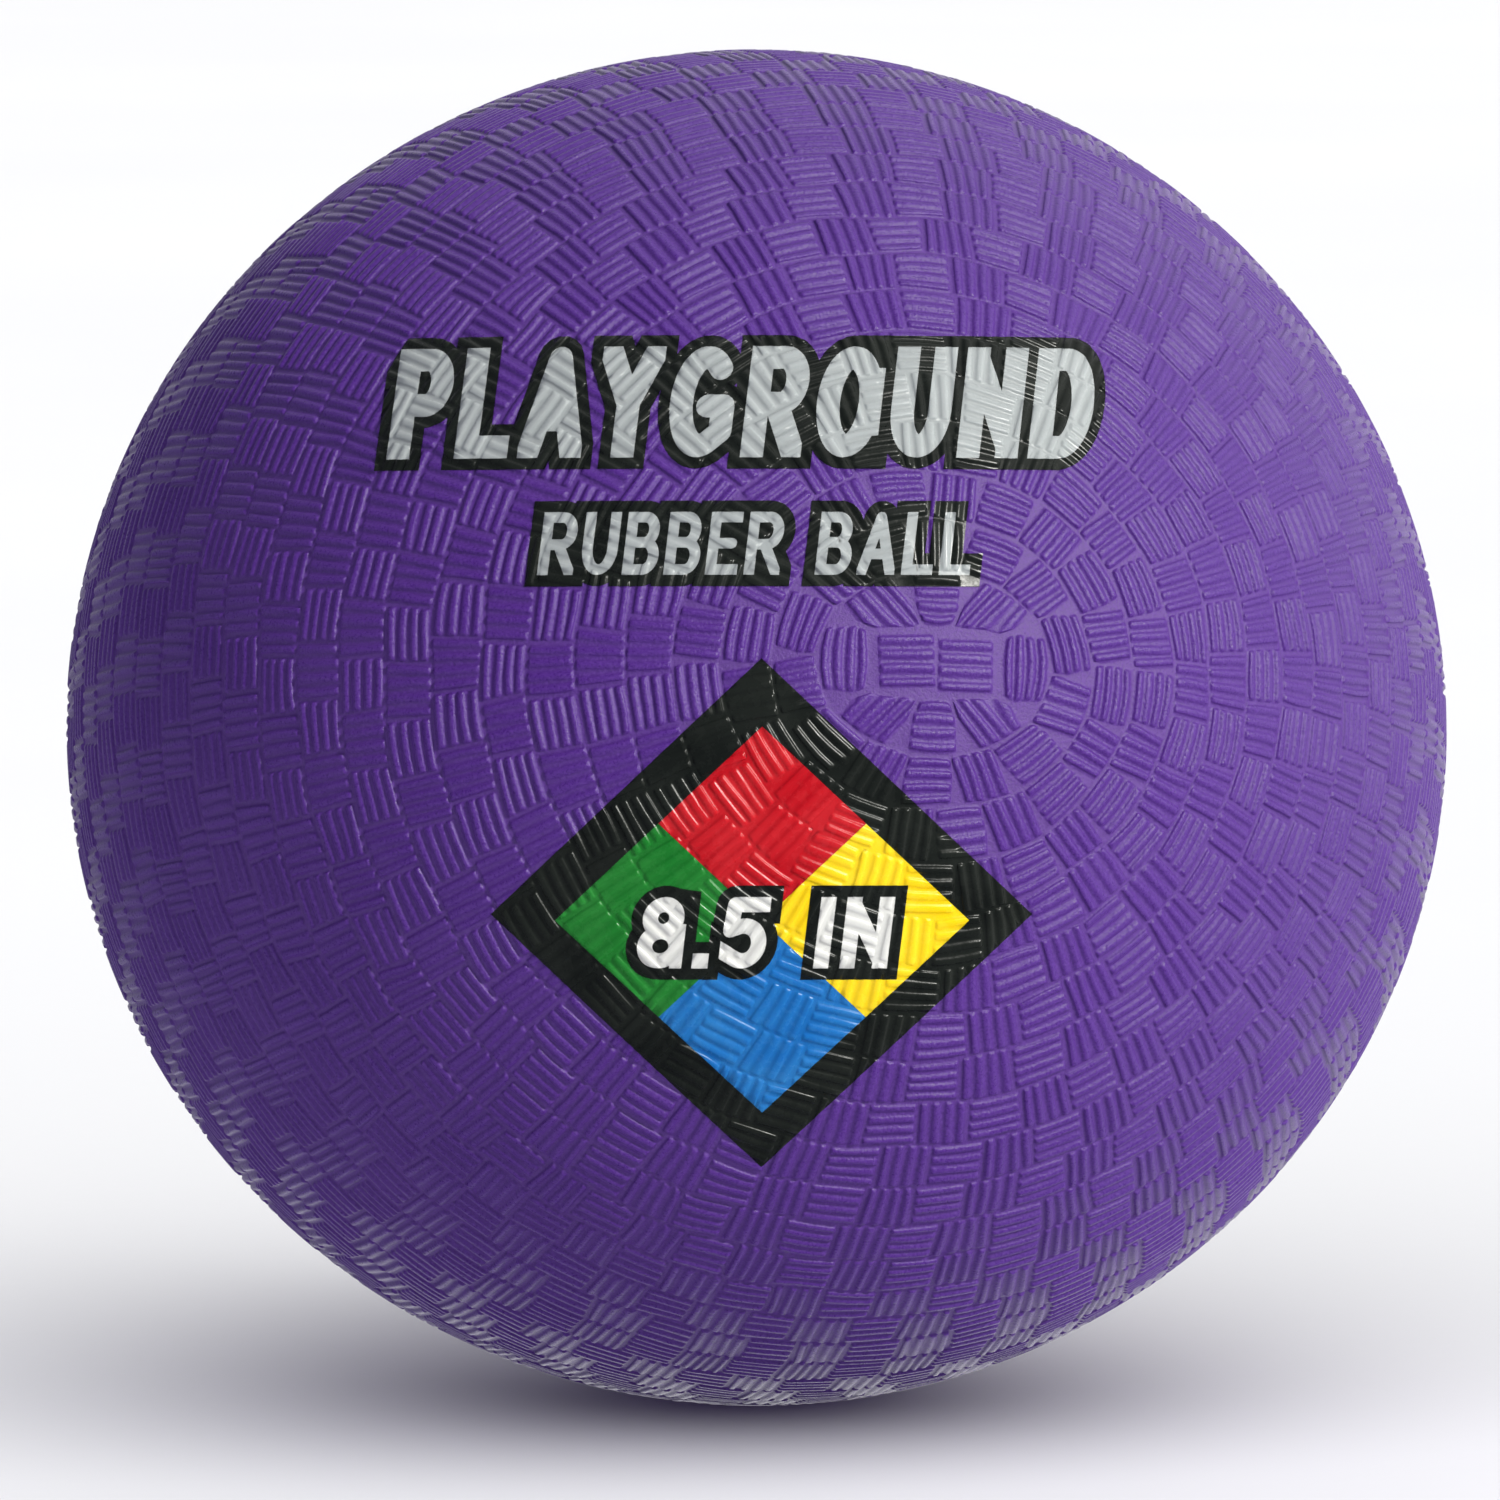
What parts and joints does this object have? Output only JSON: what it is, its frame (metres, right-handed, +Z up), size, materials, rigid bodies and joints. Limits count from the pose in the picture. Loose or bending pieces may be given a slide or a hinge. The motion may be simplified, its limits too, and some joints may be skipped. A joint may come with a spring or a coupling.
{
  "type": "playground ball",
  "caption": "Inflatable rubber playground ball with a moulded basket-weave grip, a printed four-colour diamond and a needle valve at the back.",
  "frame": {"origin": "the ball's centre", "axes": "+Z up; the printed side looks along -Y and 6 degrees up; +X is to the right of someone who reads the print; the valve is at the back, opposite the middle of the front mould half"},
  "size_m": [0.2158, 0.2158, 0.2158],
  "materials": {
    "cover_rubber": "satin moulded purple rubber",
    "bladder_rubber": "smooth black butyl",
    "winding_nylon": "rubberised white nylon thread",
    "patch_cloth": "rubberised cloth",
    "valve_rubber": "smooth purple rubber",
    "plug_rubber": "smooth black rubber",
    "black_ink": "glossy flexible ink",
    "white_ink": "glossy flexible ink",
    "grey_ink": "glossy flexible ink",
    "red_ink": "glossy flexible ink",
    "yellow_ink": "glossy flexible ink",
    "blue_ink": "glossy flexible ink",
    "green_ink": "glossy flexible ink"
  },
  "bodies": {
    "root": {"cover_front_half": "cover_rubber", "cover_back_half": "cover_rubber", "nylon_winding": "winding_nylon", "butyl_bladder": "bladder_rubber", "valve_patch": "patch_cloth", "valve_housing": "valve_rubber", "valve_plug": "plug_rubber", "diamond_border_print": "black_ink", "red_panel_print": "red_ink", "yellow_panel_print": "yellow_ink", "blue_panel_print": "blue_ink", "green_panel_print": "green_ink", "number_outline_print": "black_ink", "number_print": "white_ink", "title_outline_print": "black_ink", "title_print": "grey_ink", "subtitle_outline_print": "black_ink", "subtitle_print": "grey_ink"}
  },
  "joints": []
}
